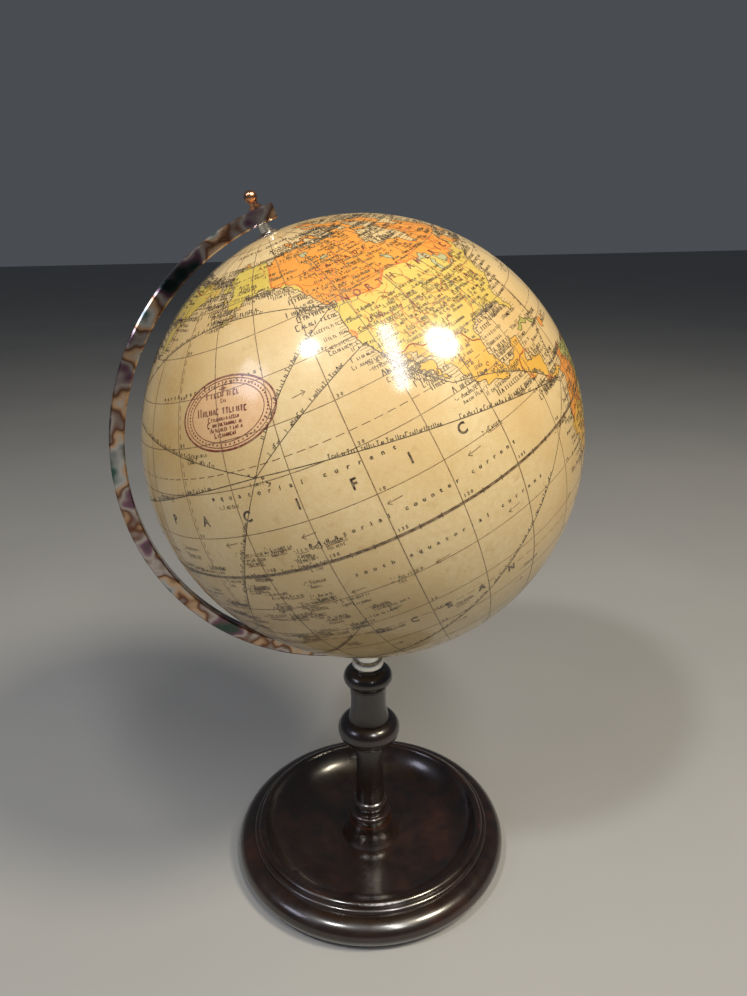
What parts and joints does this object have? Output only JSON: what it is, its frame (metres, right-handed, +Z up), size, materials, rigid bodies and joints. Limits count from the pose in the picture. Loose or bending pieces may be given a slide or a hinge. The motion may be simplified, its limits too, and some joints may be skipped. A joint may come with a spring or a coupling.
{
  "type": "desktop globe",
  "caption": "Desktop terrestrial globe: a map ball spins on a tilted axis in a chromed half-meridian arm, on a turned dark-wood column and dished round base.",
  "frame": {"origin": "centre of the underside of the round base, on the surface that it stands on", "axes": "+Z up along the column, the half-meridian arm lies in the XZ plane with its belly towards -X, and the north pole leans 23.5 degrees towards -X"},
  "size_m": [0.2164, 0.2032, 0.3504],
  "materials": {
    "ebonised_wood": "french-polished gloss, near black with red-brown worn edges",
    "plain_wood": "bare softwood",
    "baize": "woven baize",
    "chrome": "bright plated, lightly tarnished",
    "brass": "tarnished brass with a copper tone",
    "steel": "plain turned steel",
    "nickel_plate": "nickel plate",
    "pulp_board": "pressed paper pulp",
    "printed_paper": "printed paper under aged gloss varnish"
  },
  "bodies": {
    "stand": {"base": "ebonised_wood", "base_pad": "baize", "column": "ebonised_wood", "column_ferrule": "chrome", "tie_rod": "steel", "tie_washer": "steel", "tie_nut": "steel", "meridian_arm": "chrome", "north_pin": "steel", "south_pin": "steel", "north_spacer": "nickel_plate", "south_spacer": "nickel_plate", "north_washer": "brass", "south_washer": "chrome", "north_ball_nut": "brass", "south_cap_nut": "chrome"},
    "globe": {"axis_dowel": "plain_wood", "equator_hoop": "pulp_board", "gore_01": "printed_paper", "gore_02": "printed_paper", "gore_03": "printed_paper", "gore_04": "printed_paper", "gore_05": "printed_paper", "gore_06": "printed_paper", "gore_07": "printed_paper", "gore_08": "printed_paper", "gore_09": "printed_paper", "gore_10": "printed_paper", "gore_11": "printed_paper", "gore_12": "printed_paper", "north_block": "plain_wood", "north_bush": "brass", "north_calotte": "printed_paper", "north_polar_cap": "nickel_plate", "north_shell": "pulp_board", "south_block": "plain_wood", "south_bush": "brass", "south_calotte": "printed_paper", "south_polar_cap": "nickel_plate", "south_shell": "pulp_board"}
  },
  "joints": [
    {"name": "globe_spin", "type": "hinge", "parent": "stand", "child": "globe", "pos_m": [0, 0, 0.2398], "axis": [-0.3987, 0, 0.9171], "continuous": true}
  ]
}
